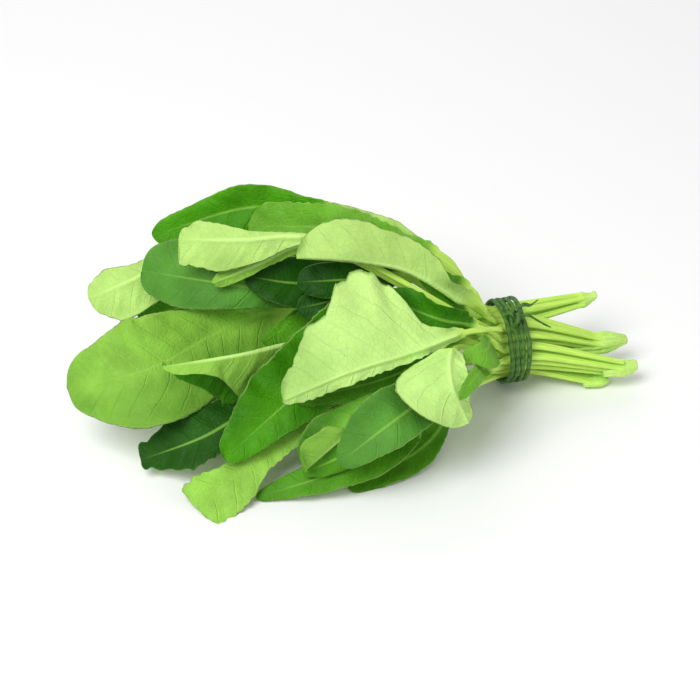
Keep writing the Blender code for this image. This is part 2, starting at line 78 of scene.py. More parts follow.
# linear colours of the leaf faces, darkest first
greens = dict(
    # the first of these is an upper face darkened as painted shade; the second is a darker upper face,
    # partly its own green and partly painted shade
    night=(0.014, 0.090, 0.002), deep=(0.042, 0.215, 0.003), leaf=(0.080, 0.280, 0.008),
    vivid=(0.070, 0.310, 0.003), fresh=(0.155, 0.410, 0.030), grey=(0.100, 0.300, 0.035),
    # the first of these is a young, lighter upper face with a painted sheen on it
    mint=(0.240, 0.500, 0.055), soft=(0.280, 0.560, 0.070), pale=(0.480, 0.740, 0.190),
    lime=(0.570, 0.880, 0.250), stalk=(0.600, 0.900, 0.150),
    rib=(0.600, 0.880, 0.260),
)

# rib: midrib from the leaf base to its tip; left, right: half widths at 0.1, 0.3, 0.5, 0.7 and 0.9 of the
# blade; ruffle: how far the two margins wave; greens: upper face, under face; trim: bumps of the outline;
# shadeTones: how far painted shade darkens the left half, the right half and the tip; wing: blade that runs
# down the stalk
leaves = [
    dict(name="rest_short", slot=(1, 4), crown="back", roll=(10, 0),
         rib=((-40, 32, 9), (-76, 54, 5), (-108, 72, 1)),
         left=(10, 18, 22, 20, 12), right=(10, 18, 22, 20, 12),
         ruffle=(0.8, 0.8), greens=("deep", "soft")),
    dict(name="rest_back", slot=(0, 3), crown="back", roll=(0, 0),
         rib=((-75, 24, 9), (-120, 46, 5), (-161, 66, 1)),
         left=(12, 20, 25, 22, 14), right=(12, 20, 25, 22, 14),
         ruffle=(0.8, 0.8), greens=("deep", "soft")),
    dict(name="rest_mid", slot=(1, 3), crown="back", roll=(0, 0),
         rib=((-70, 4, 7), (-123, 6, 8), (-171, 15, 2)),
         left=(12, 20, 26, 24, 14), right=(12, 20, 26, 24, 14), shadeTones=(.2, 0, .1),
         ruffle=(0.8, 0.8), greens=("deep", "soft")),
    dict(name="back_low", slot=(2, 5), crown="back", roll=(10, 10),
         rib=((-50, 42, 20), (-88, 64, 20), (-122, 80, 14)),
         left=(10, 16, 22, 20, 12), right=(10, 16, 22, 20, 12),
         ruffle=(1, 1), greens=("leaf", "soft")),
    dict(name="back_mid", slot=(3, 6), crown="back", roll=(20, 10),
         rib=((-58, 46, 36), (-98, 70, 40), (-138, 84, 32)),
         left=(12, 20, 25, 22, 14), right=(12, 20, 25, 22, 14),
         ruffle=(1, 1), greens=("fresh", "soft")),
    dict(name="back_pale", slot=(4, 5), crown="top", roll=(120, 120),
         rib=((-32, 27, 60), (-64, 43, 76), (-97, 68, 80)),
         left=(5, 10, 9, 8, 7), right=(8, 12, 14, 12, 8), wing=2,
         ruffle=(1.5, 2.0), greens=("fresh", "pale")),
    dict(name="front_dark", slot=(0, 2), crown="low", roll=(-30, -30),
         rib=((-39, -33, 16), (-60, -50, 9), (-101, -62, 1)),
         left=(3, 6, 9, 8, 5), right=(3, 8, 10, 9, 7),
         ruffle=(0.8, 0.8), greens=("leaf", "soft")),
    dict(name="front_long", slot=(0, 1), crown="low", roll=(-35, -35),
         rib=((-61, -45, 21), (-96, -60, 15), (-145, -56, 2)),
         left=(8, 11, 9, 7, 4), right=(5, 9, 10, 8, 5),
         ruffle=(0.8, 1), greens=("leaf", "soft")),
    dict(name="front_sliver", slot=(0, 0), crown="low", roll=(-60, -60),
         rib=((-89, -54, 25), (-105, -59, 20), (-123, -59, 14)),
         left=(3, 6, 7, 6, 4), right=(3, 6, 7, 6, 4),
         ruffle=(0.6, 0.6), greens=("leaf", "soft")),
    dict(name="low_tip", slot=(1, 2), crown="back", roll=(-25, -35),
         rib=((-135, -20, 25), (-164, -27, 20), (-192, -20, 8)),
         left=(11, 11, 12, 11, 6), right=(10, 12, 14, 12, 8), shadeTones=(.3, .3, 0), teeth=.5,
         trimLeft=((0, 1), (.3, 1.2), (.45, .95), (.6, 1.2), (.75, 1), (.92, 1.1), (.97, 1.5),
                   (.99, 2), (1, 4)),
         trimRight=((0, 1), (.4, 1.2), (.5, 1.0), (.7, 1.25), (.92, 1.1), (.97, 1.5), (.99, 2), (1, 3)),
         ruffle=(1, 1), greens=("night", "soft")),
    dict(name="low_pale", slot=(2, 2), crown="back", roll=(-25, -35),
         rib=((-109, -37, 27), (-138, -43, 18), (-173, -58, 3)),
         left=(6, 9, 11, 13, 12), right=(7, 6, 6, 8, 13),
         trimLeft=((0, 1), (.5, .85), (.7, 1.05), (.92, 1.15), (.97, 1.6), (.99, 2.4), (1, 6)),
         trimRight=((0, 1), (.6, .9), (.8, 1.1), (.92, 1.05), (.97, 1.5), (.99, 2.2), (1, 5)), teeth=.35,
         ruffle=(1, 1.5), greens=("soft", "pale")),
    dict(name="left_sliver", slot=(2, 4), crown="back", roll=(-50, -50),
         rib=((-110, 46, 41), (-144, 54, 39), (-175, 58, 35)),
         left=(8, 12, 12, 9, 5), right=(8, 12, 12, 9, 5),
         ruffle=(0.6, 0.6), greens=("leaf", "soft")),
    dict(name="left_pale", slot=(3, 5), crown="back", roll=(150, 140),
         rib=((-154, 67, 58), (-175, 60, 56), (-198, 62, 48)),
         left=(6, 7, 9, 11, 8), right=(14, 15, 16, 17, 11), teeth=.2,
         ruffle=(0.8, 0.8), greens=("fresh", "pale")),
    dict(name="left_big", slot=(2, 3), crown="back", roll=(-35, -40),
         rib=((-102, 32, 41), (-142, 21, 44), (-181, 3, 43), (-219, 13, 33)),
         left=(15, 22, 27, 29, 18), right=(4, 11, 21, 26, 17), ribTall=1.3, shadeTones=(.35, 0, .1),
         ruffle=(1.4, 1.4), greens=("mint", "pale")),
    dict(name="inner_a", slot=(4, 4), crown="top", roll=(-40, -40),
         rib=((-83, 32, 44), (-101, 21, 44), (-123, 11, 41)),
         left=(6, 8, 9, 8, 5), right=(3, 4, 5, 4, 3),
         ruffle=(0.4, 0.4), greens=("leaf", "soft")),
    dict(name="inner_b", slot=(3, 4), crown="back", roll=(-40, -40),
         rib=((-81, 21, 45), (-99, 13, 45), (-116, 6, 42)),
         left=(6, 8, 9, 8, 5), right=(6, 7, 8, 8, 5),
         ruffle=(0.4, 0.4), greens=("leaf", "soft")),
    dict(name="top_far", slot=(5, 4), crown="top", roll=(-60, -60),
         rib=((-76, 47, 78), (-110, 64, 84), (-162, 74, 71)),
         left=(14, 18, 19, 15, 9), right=(6, 10, 12, 9, 7), wing=4, shadeTones=(.3, 0, 0),
         ruffle=(1.0, 1.0), greens=("vivid", "pale")),
    dict(name="blue", slot=(3, 3), crown="middle", roll=(-45, -50),
         rib=((-96, 29, 51), (-133, 30, 64), (-170, 60, 60)),
         left=(8, 10, 13, 15, 12), right=(13, 16, 19, 20, 16), shadeTones=(.2, .1, .1),
         ruffle=(1.0, 0.8), greens=("grey", "pale")),
    dict(name="top_mid", slot=(6, 3), crown="top", roll=(-60, -60),
         rib=((-33, 21, 64), (-73, 37, 80), (-117, 58, 78)),
         left=(13, 14, 15, 15, 12), right=(4, 9, 11, 12, 12), teeth=.45, wing=5, shadeTones=(.2, 0, 0),
         ruffle=(1.2, 2.2), greens=("fresh", "pale")),
    dict(name="shade_a", slot=(5, 3), crown="top", roll=(-45, -45),
         rib=((-77, 23, 61), (-102, 22, 64), (-125, 32, 66)),
         left=(14, 14, 13, 11, 7), right=(11, 12, 13, 12, 8), shadeTones=(.3, .3, 0),
         ruffle=(0.6, 0.6), greens=("night", "pale")),
    dict(name="shade_b", slot=(4, 3), crown="middle", roll=(-45, -45),
         rib=((-69, 27, 50), (-89, 11, 58), (-105, 11, 57)),
         left=(5, 8, 9, 8, 6), right=(5, 8, 9, 8, 6), shadeTones=(.5, .5, .2),
         ruffle=(0.5, 0.5), greens=("night", "soft")),
    dict(name="rolled", slot=(1, 1), crown="front", roll=(180, 180),
         rib=((-105, -9, 50), (-144, -22, 60), (-178, -18, 58)),
         left=(12, 24, 32, 27, 12), right=(22, 24, 14, 5, 5),
         foldLeft=(70, 75), foldRight=(85, 80), shadeTones=(.2, .2, 0),
         trimLeft=((0, 1), (.15, 1.5), (.5, 1.25), (1, 1)),
         trimRight=((0, 1), (.25, 1.15), (.45, 1.6), (.62, 1.9), (.75, 1.3), (1, 1)),
         ruffle=(0.8, 0.8), greens=("deep", "soft")),
    dict(name="bright", slot=(3, 2), crown="middle", roll=(-50, -40),
         rib=((-59, 5, 46), (-111, -28, 41), (-157, -45, 20)),
         left=(18, 18, 16, 12, 8), right=(19, 22, 22, 20, 11), shadeTones=(.3, .35, .1), teeth=.25,
         ruffle=(1.0, 2.2), greens=("vivid", "pale")),
    dict(name="shade_c", slot=(4, 2), crown="middle", roll=(-50, -50),
         rib=((-51, 17, 62), (-79, 9, 70), (-104, 14, 70)),
         left=(7, 8, 9, 9, 7), right=(6, 7, 8, 9, 8), shadeTones=(.5, .5, .2),
         ruffle=(0.5, 0.5), greens=("night", "soft")),
    dict(name="mid_band", slot=(2, 1), crown="front", roll=(-55, -55),
         rib=((-26, -16, 39), (-76, -38, 44), (-120, -39, 41)),
         left=(3, 5, 7, 7, 5), right=(7, 8, 8, 7, 4),
         ruffle=(0.8, 0.8), greens=("leaf", "soft")),
    dict(name="folded", slot=(1, 0), crown="front", roll=(30, 30),
         rib=((-70, -46, 43), (-97, -55, 33), (-123, -61, 18)),
         left=(2, 2, 5, 12, 12), right=(6, 9, 12, 15, 11),
         foldLeft=(60, 70), foldRight=(60, 70), shadeTones=(0, .8, .2),
         ruffle=(0.8, 1.0), greens=("fresh", "soft")),
    dict(name="grey", slot=(2, 0), crown="front", roll=(-40, -40),
         rib=((-57, -46, 35), (-81, -64, 39), (-108, -67, 23)),
         left=(11, 12, 12, 10, 7), right=(11, 14, 16, 14, 8), shadeTones=(.1, .4, .2),
         ruffle=(0.8, 1.0), greens=("grey", "pale")),
    dict(name="neck_a", slot=(5, 2), crown="top", roll=(-55, -55),
         rib=((-18, 20, 42), (-37, 14, 65), (-58, 27, 75)),
         left=(3, 6, 7, 6, 4), right=(3, 5, 6, 6, 4), wing=4.5,
         ruffle=(0.8, 0.8), greens=("leaf", "soft")),
    dict(name="neck_b", slot=(6, 2), crown="top", roll=(-55, -55),
         rib=((-17, 12, 39), (-33, 3, 59), (-47, 13, 71)),
         left=(3, 6, 8, 6, 4), right=(3, 6, 8, 7, 5), wing=4.5,
         ruffle=(0.8, 0.8), greens=("leaf", "soft")),
    dict(name="curled", slot=(4, 1), crown="middle", roll=(120, 120),
         rib=((-93, 31, 78), (-120, 27, 75), (-143, 25, 70)),
         left=(2, 2, 2, 2, 4), right=(4, 4, 3, 4, 4),
         ruffle=(0.3, 0.3), greens=("leaf", "soft")),
    dict(name="pale_upper", slot=(5, 1), crown="middle", roll=(125, 125),
         rib=((-93, 29, 82), (-125, 31, 87), (-154, 44, 85)),
         left=(2, 3, 5, 8, 10), right=(4, 9, 13, 16, 12), shadeTones=(0, .15, 0),
         trimRight=((0, 1), (.8, .95), (.92, 1.1), (.97, 1.6), (.99, 2.3), (1, 6)),
         trimLeft=((0, 1), (.85, 1), (.93, .7), (1, 1)),
         ruffle=(0.6, 1.0), greens=("fresh", "pale")),
    dict(name="ridge", slot=(6, 1), crown="middle", roll=(40, 35),
         rib=((-21, -1, 49), (-52, 6, 72), (-78, 11, 79), (-102, 21, 79)),
         left=(3, 7, 10, 13, 11), right=(4, 9, 13, 16, 10),
         foldLeft=(60, 75), foldRight=(60, 72),
         trimLeft=((0, 1), (.15, 1.5), (.4, 1.6), (.6, 1.45), (.8, 1.6), (1, 1.2)),
         trimRight=((0, 1), (.2, 1.2), (.3, 1.0), (.42, 1.25), (.55, 1.1), (.7, 1.3), (.85, 1.1), (1, 1.2)),
         teeth=.3, wing=4, ribTall=1.4, shadeTones=(0, .15, 0),
         ruffle=(1.0, 1.8), greens=("leaf", "pale")),
    dict(name="frill", slot=(5, 0), crown="middle", roll=(-60, -60),
         rib=((-19, -4, 38), (-41, -9, 51), (-62, 7, 57)),
         left=(3, 5, 6, 8, 7), right=(4, 9, 11, 9, 8),
         curlRight=(90, 130, 60, 20, 0), teeth=.4,
         ruffle=(1.0, 1.8), greens=("deep", "soft")),
    dict(name="hero", slot=(6, 0), crown="middle", roll=(122, 122),
         rib=((-32, -22, 50), (-63, -36, 55), (-97, -44, 56), (-129, -47, 49)),
         left=(5, 29, 42, 32, 13), right=(3, 4, 5, 6, 5),
         trimLeft=((0, 1), (.08, 1), (.16, .62), (.22, .60), (.27, .98), (.31, 1.12), (.36, 1.04),
                   (.40, 1.1), (.45, 1.02), (.50, 1.07), (.55, 1.0), (.60, 1.05), (.64, .96), (.68, .84),
                   (.72, .90), (.76, 1), (1, 1)),
         ribTall=1.9, teeth=.4, shadeTones=(0, .5, .22),
         ruffle=(2.2, 0.5), greens=("fresh", "lime")),
    dict(name="hanging", slot=(3, 1), crown="front", roll=(180, 175),
         rib=((-42, -35, 51), (-51, -58, 49), (-46, -68, 33)),
         left=(8, 20, 26, 20, 12), right=(6, 8, 11, 14, 10), teeth=.2,
         ruffle=(1.0, 1.0), greens=("fresh", "lime")),
    dict(name="collar_a", slot=(3, 0), crown="front", roll=(-40, -40),
         rib=((-21, -28, 32), (-39, -56, 49), (-49, -64, 45)),
         left=(3, 4, 4, 4, 3), right=(3, 4, 4, 4, 3), wing=1.5,
         ruffle=(0.6, 0.6), greens=("fresh", "soft")),
    dict(name="collar_b", slot=(4, 0), crown="front", roll=(-50, -50),
         rib=((-16, -17, 38), (-29, -41, 52), (-40, -43, 54)),
         left=(4, 8, 10, 9, 5), right=(3, 5, 6, 5, 3), wing=1.5,
         ruffle=(0.8, 0.8), greens=("fresh", "soft")),
]
print("leaves:", len(leaves))


def slotCentre(row, place):
    aside = place - (layout["rows"][row] - 1) / 2
    return np.array([aside * layout["placeStep"], (row - 3) * layout["rowStep"]])


def smoothLine(points, fine=layout["curveSteps"]):
    pts = np.asarray(points, float)
    pts = np.vstack([2 * pts[0] - pts[1], pts, 2 * pts[-1] - pts[-2]])
    out = []
    for k in range(1, len(pts) - 2):
        a, b, c, d = pts[k - 1:k + 3]
        t1 = np.linalg.norm(b - a) ** 0.5
        t2 = t1 + np.linalg.norm(c - b) ** 0.5
        t3 = t2 + np.linalg.norm(d - c) ** 0.5
        t = np.linspace(t1, t2, fine, endpoint=False)[:, None]
        ab = (t1 - t) / t1 * a + t / t1 * b
        bc = (t2 - t) / (t2 - t1) * b + (t - t1) / (t2 - t1) * c
        cd = (t3 - t) / (t3 - t2) * c + (t - t2) / (t3 - t2) * d
        abc = (t2 - t) / t2 * ab + t / t2 * bc
        bcd = (t3 - t) / (t3 - t1) * bc + (t - t1) / (t3 - t1) * cd
        out.append((t2 - t) / (t2 - t1) * abc + (t - t1) / (t2 - t1) * bcd)
    return np.vstack(out + [pts[-2][None]])


def spaced(line, shares):
    steps = np.concatenate([[0], np.cumsum(np.linalg.norm(np.diff(line, axis=0), axis=1))])
    at = np.asarray(shares) * steps[-1]
    return np.stack([np.interp(at, steps, line[:, k]) for k in range(3)], 1)


def along(values, t):
    return np.interp(t, np.linspace(0, 1, len(values)), np.asarray(values, float))


def halfWidth(widths, t):       # rounded off at the tip, never less than the stalk near the base
    x, y = np.array((0.0, 0.1, 0.3, 0.5, 0.7, 0.9)), np.concatenate([[layout["stalkWide"] / 2], widths])
    h = np.diff(x)
    m = np.diff(y) / h
    d = np.zeros(len(y))
    d[0], d[-1] = m[0], m[-1]
    for k in range(1, len(y) - 1):
        if m[k - 1] * m[k] > 0:
            w1, w2 = 2 * h[k] + h[k - 1], h[k] + 2 * h[k - 1]
            d[k] = (w1 + w2) / (w1 / m[k - 1] + w2 / m[k])
    tt = np.minimum(t, x[-1])
    k = np.clip(np.searchsorted(x, tt, side="right") - 1, 0, len(x) - 2)
    s = (tt - x[k]) / h[k]
    value = (y[k] * (1 + 2 * s) * (1 - s) ** 2 + d[k] * h[k] * s * (1 - s) ** 2
             + y[k + 1] * s * s * (3 - 2 * s) + d[k + 1] * h[k] * s * s * (s - 1))
    past = np.clip((t - layout["tipStart"]) / (1 - layout["tipStart"]), 0, 1)
    value = value * np.sqrt(np.clip(1 - past ** 2, 0, 1))
    return np.maximum(value, np.where(t < 0.5, layout["stalkWide"] / 2, 0.8))


def leafSurface(leaf, crownPoint, rows, across, trimmed=False):
    # middle surface of a stalk and its blade; rows holds the shares of crown, band, neck and blade
    crownRows, bandRows, neckRows, bladeRows = (np.asarray(r, float) for r in rows)
    y, z = slotCentre(*leaf["slot"])
    heldHalf = layout["heldHalf"]
    held = [np.array([x, y, layout["bandHeight"] + z]) for x in (heldHalf, 2, -2, -heldHalf)]
    line = smoothLine([np.array(crownPoint, float)] + held + [np.array(p, float) for p in leaf["rib"]])
    bandIn, bandOut, base = (layout["curveSteps"] * k for k in (1, 4, 5))
    blade = spaced(line[base:], bladeRows)
    centre = np.vstack([spaced(line[:bandIn + 1], crownRows), spaced(line[bandIn:bandOut + 1], bandRows),
                        spaced(line[bandOut:base + 1], neckRows), blade])
    t = np.concatenate([np.zeros(len(centre) - len(blade)), bladeRows])
    place = np.concatenate([crownRows, 1 + bandRows, 2 + neckRows, 3 + bladeRows])
    ahead = np.gradient(centre, axis=0)
    ahead /= np.linalg.norm(ahead, axis=1)[:, None]
    up = np.array([0, 0, 1.0]) - ahead[:, 2:3] * ahead
    up /= np.linalg.norm(up, axis=1)[:, None]
    side = np.cross(ahead, up)
    roll = np.radians(along(leaf["roll"], t)) * np.clip(place - 2, 0, 1)
    normal = np.cos(roll)[:, None] * up + np.sin(roll)[:, None] * side
    left = np.cross(normal, ahead)
    slim = np.interp(place, (0, 1, 2, 2.12), (layout["crownShare"], 1, 1, layout["neckShare"]))
    stalkHalf = layout["stalkWide"] / 2 * slim
    half = {s: np.where(t > 0, halfWidth(leaf[s], t), stalkHalf) for s in ("left", "right")}
    for s in half:
        if trimmed and "wing" in leaf:         # blade tissue that runs down the stalk
            winged = np.clip((place - 2.2) / 0.6, 0, 1) * np.clip(1.6 - t * 8, 0, 1)
            half[s] = half[s] + leaf["wing"] * winged
        if trimmed and "trim" + s.title() in leaf:
            half[s] = half[s] * np.interp(t, *zip(*leaf["trim" + s.title()]))
    grid = np.zeros((len(centre), len(across), 3))
    face = np.zeros_like(grid)
    dist = np.zeros(grid.shape[:2])
    for j, v in enumerate(across):
        s = "left" if v > 0 else "right"
        sign = 1 if v > 0 else -1
        fold = np.radians(along(leaf.get("fold" + s.title(), (8, 8)), t))
        curl = np.radians(along(leaf.get("curl" + s.title(), (0, 0)), t))
        opened = np.clip((half[s] - layout["stalkWide"] / 2) / 9, 0, 1)
        fold, curl = fold * opened, curl * opened
        out = abs(v) * half[s]
        bend = curl / np.maximum(half[s], 1e-6)
        flat = np.abs(bend) < 1e-5
        safe = np.where(flat, 1, bend)
        x = np.where(flat, np.cos(fold) * out, (np.sin(fold + safe * out) - np.sin(fold)) / safe)
        h = np.where(flat, np.sin(fold) * out, (np.cos(fold) - np.cos(fold + safe * out)) / safe)
        grid[:, j] = centre + sign * x[:, None] * left + h[:, None] * normal
        tilt = (fold * np.clip(abs(v) * 6, 0, 1) + bend * out)[:, None]
        face[:, j] = np.cos(tilt) * normal - sign * np.sin(tilt) * left
        dist[:, j] = sign * out
    run = np.concatenate([[0], np.cumsum(np.linalg.norm(np.diff(centre, axis=0), axis=1))])
    run = run - run[np.argmax(t > 0) - 1]
    thick = np.where(t > 0, np.clip(1 - t / 0.12, 0, 1) * layout["neckShare"], slim)
    return dict(grid=grid, face=face, dist=dist, t=t, place=place, run=run, stalk=thick)


def coarseThickness(surface):
    profile = np.array([0.45, 0.85, 1.0, 0.85, 0.45])
    t = surface["t"]
    margin, middle = np.full(len(t), layout["marginThick"]), np.full(len(t), layout["bladeThick"])
    rib = layout["ribThick"] + (layout["bladeThick"] - layout["ribThick"]) * t
    blade = np.stack([margin, middle, rib, middle, margin], 1)
    return np.maximum(surface["stalk"][:, None] * profile * layout["stalkThick"],
                      np.where(t > 0, 1, 0)[:, None] * blade)


def patchSamples(quad, thick):
    a, b, c, d = quad
    cell = layout["cell"]
    m = int(max(np.linalg.norm((b - a)[:2]), np.linalg.norm((d - c)[:2])) / cell * 1.3) + 2
    n = int(max(np.linalg.norm((c - a)[:2]), np.linalg.norm((d - b)[:2])) / cell * 1.3) + 2
    f, g = np.meshgrid(np.linspace(0, 1, m), np.linspace(0, 1, n), indexing="ij")
    share = np.stack([(1 - f) * (1 - g), f * (1 - g), (1 - f) * g, f * g], -1).reshape(-1, 4)
    pts = share @ np.stack([a, b, c, d])
    face = np.cross(d - a, c - b)
    square = max(abs(face[2]) / max(np.linalg.norm(face), 1e-9), 0.7)
    return np.floor(pts[:, :2] / cell).astype(int), pts[:, 2], share @ thick / 2 / square, share


def smoothLift(need, cap, rounds):
    lift = need.copy()
    for _ in range(rounds):
        soft = lift.copy()
        soft[1:-1] = (lift[:-2] + 2 * lift[1:-1] + lift[2:]) / 4
        soft[-1] = (lift[-1] + lift[-2]) / 2
        wide = soft.copy()
        wide[:, 1:-1] = (soft[:, :-2] + 2 * soft[:, 1:-1] + soft[:, 2:]) / 4
        wide[:, 0] = (soft[:, 0] + soft[:, 1]) / 2
        wide[:, -1] = (soft[:, -1] + soft[:, -2]) / 2
        lift = np.maximum(need, np.minimum(wide, cap))
    return lift


def layOver(surfaces):          # each leaf is pushed outwards just far enough to lie over those before it
    turned = np.stack([sideways, upward, lean])
    top, lifts = {}, []
    for grid, thick in surfaces:
        rows, places = grid.shape[:2]
        seen = grid @ turned.T
        patches, need = [], np.zeros((rows, places))
        for i in range(rows - 1):
            for j in range(places - 1):
                corners = ((i, j), (i + 1, j), (i, j + 1), (i + 1, j + 1))
                cells, depth, half, share = patchSamples(np.stack([seen[c] for c in corners]),
                                                         np.array([thick[c] for c in corners]))
                patches.append((corners, cells, depth, half, share))
                lack = 0.0
                for (a, b), d, h in zip(cells.tolist(), depth, half):
                    below = max(top.get((a + p, b + q), -1e9) for p in (-1, 0, 1) for q in (-1, 0, 1))
                    lack = max(lack, below + layout["gap"] - d + h)
                for c in corners:
                    need[c] = max(need[c], lack)
        table = (thick / 2 + layout["tableGap"] - grid[..., 2]) / lean[2]
        past = -grid[..., 0] - layout["heldHalf"]
        free = np.clip(past / 2, 0, 1)                  # 0 where the band holds it
        steepest = layout["steepest"] * np.clip(past, 0, None)
        need = np.maximum(np.maximum(need, table) * free, 0)
        lift = smoothLift(need, steepest, layout["smoothings"])
        lifts.append(lift)
        for corners, cells, depth, half, share in patches:
            raised = depth + share @ np.array([lift[c] for c in corners]) + half
            for (a, b), d in zip(cells.tolist(), raised):
                if d > top.get((a, b), -1e9):
                    top[(a, b)] = d
    return lifts


coarseRows = (          # shares of the crown, band, neck and blade stretches
    (0.0, 0.5), (0.0,), (0.0, 0.12, 0.32, 0.56, 0.80),
    (0.0, 0.09, 0.22, 0.36, 0.50, 0.64, 0.78, 0.90, 1.0),
)
coarseAcross = (-1.0, -0.5, 0.0, 0.5, 1.0)
mates = {name: np.mean([slotCentre(*leaf["slot"]) for leaf in leaves if leaf["crown"] == name], 0)
         for name in crowns}
coarse = []
for leaf in leaves:
    centre, size = crowns[leaf["crown"]]
    spread = (slotCentre(*leaf["slot"]) - mates[leaf["crown"]]) * layout["crownShare"]
    leaf["end"] = (centre[0] - size[0] - 0.8, centre[1] + spread[0], centre[2] + spread[1])
    coarse.append(leafSurface(leaf, leaf["end"], coarseRows, coarseAcross))
lifts = layOver([(c["grid"], coarseThickness(c)) for c in coarse])
print("leaves laid over one another")


class Wire:                      # a socket that takes part in plain arithmetic
    def __init__(self, paint, socket):
        self.paint, self.socket = paint, socket

    def math(self, operation, *others):
        return self.paint.add("ShaderNodeMath", dict(operation=operation), (self,) + others)

    def mathOf(self, operation, other):     # the reflected forms, where the other value comes first
        return self.paint.add("ShaderNodeMath", dict(operation=operation), (other, self))

    def __add__(self, other):
        return self.math("ADD", other)

    __radd__ = __add__

    def __mul__(self, other):
        return self.math("MULTIPLY", other)

    __rmul__ = __mul__

    def __sub__(self, other):
        return self.math("SUBTRACT", other)

    def __rsub__(self, other):
        return self.mathOf("SUBTRACT", other)

    def __truediv__(self, other):
        return self.math("DIVIDE", other)

    def __rtruediv__(self, other):
        return self.mathOf("DIVIDE", other)

    def __abs__(self):
        return self.math("ABSOLUTE")

    def fract(self):
        return self.math("FRACT")

    def sine(self):
        return self.math("SINE")

    def clamped(self):
        return self.paint.add("ShaderNodeClamp", {}, (self,))

    def ramp(self, low, high):   # 0 at low, 1 at high, eased
        settings = dict(interpolation_type="SMOOTHSTEP")
        return self.paint.add("ShaderNodeMapRange", settings, (self, low, high))


class Paint:                     # the nodes of one material
    def __init__(self, name):
        self.material = bpy.data.materials.new(name)
        self.material.use_nodes = True
        self.tree = self.material.node_tree
        self.shader = self.tree.nodes["Principled BSDF"]

    def add(self, kind, settings, values=(), out=0):
        node = self.tree.nodes.new(kind)
        for key, value in settings.items():
            setattr(node, key, value)
        pairs = values.items() if isinstance(values, dict) else enumerate(values)
        for key, value in pairs:
            self.feed(node.inputs[key], value)
        return Wire(self, node.outputs[out])

    def feed(self, socket, value):
        if isinstance(value, Wire):
            self.tree.links.new(value.socket, socket)
        elif isinstance(value, tuple) and len(socket.default_value) == 4:
            socket.default_value = (*value, 1)
        else:
            socket.default_value = value

    def mix(self, share, first, second):
        return self.add("ShaderNodeMix", dict(data_type="RGBA"), {0: share, 6: first, 7: second}, out=2)

    def noise(self, where, scale, detail=2.0, rough=0.5):
        sockets = dict(Vector=where, Scale=scale, Detail=detail, Roughness=rough)
        return self.add("ShaderNodeTexNoise", {}, sockets)

    def vector(self, x, y, z=0.0):
        return self.add("ShaderNodeCombineXYZ", {}, (x, y, z))

    def finish(self, colour, rough, height=None, distance=0.0003, strength=0.6, **fixed):
        self.feed(self.shader.inputs["Base Color"], colour)
        self.feed(self.shader.inputs["Roughness"], rough)
        if height is not None:
            bump = self.add("ShaderNodeBump", {}, dict(Strength=strength, Distance=distance, Height=height))
            self.tree.links.new(bump.socket, self.shader.inputs["Normal"])
        for key, value in fixed.items():
            self.shader.inputs[key].default_value = value
        return self.material


veins = dict(spacing=11.0, slant=0.62, sag=0.004, wander=1.3, width=0.8)     # side veins, in millimetres


def tinted(colour, share, lift=0.0):
    return tuple(min(1.0, c * share + lift) for c in colour)


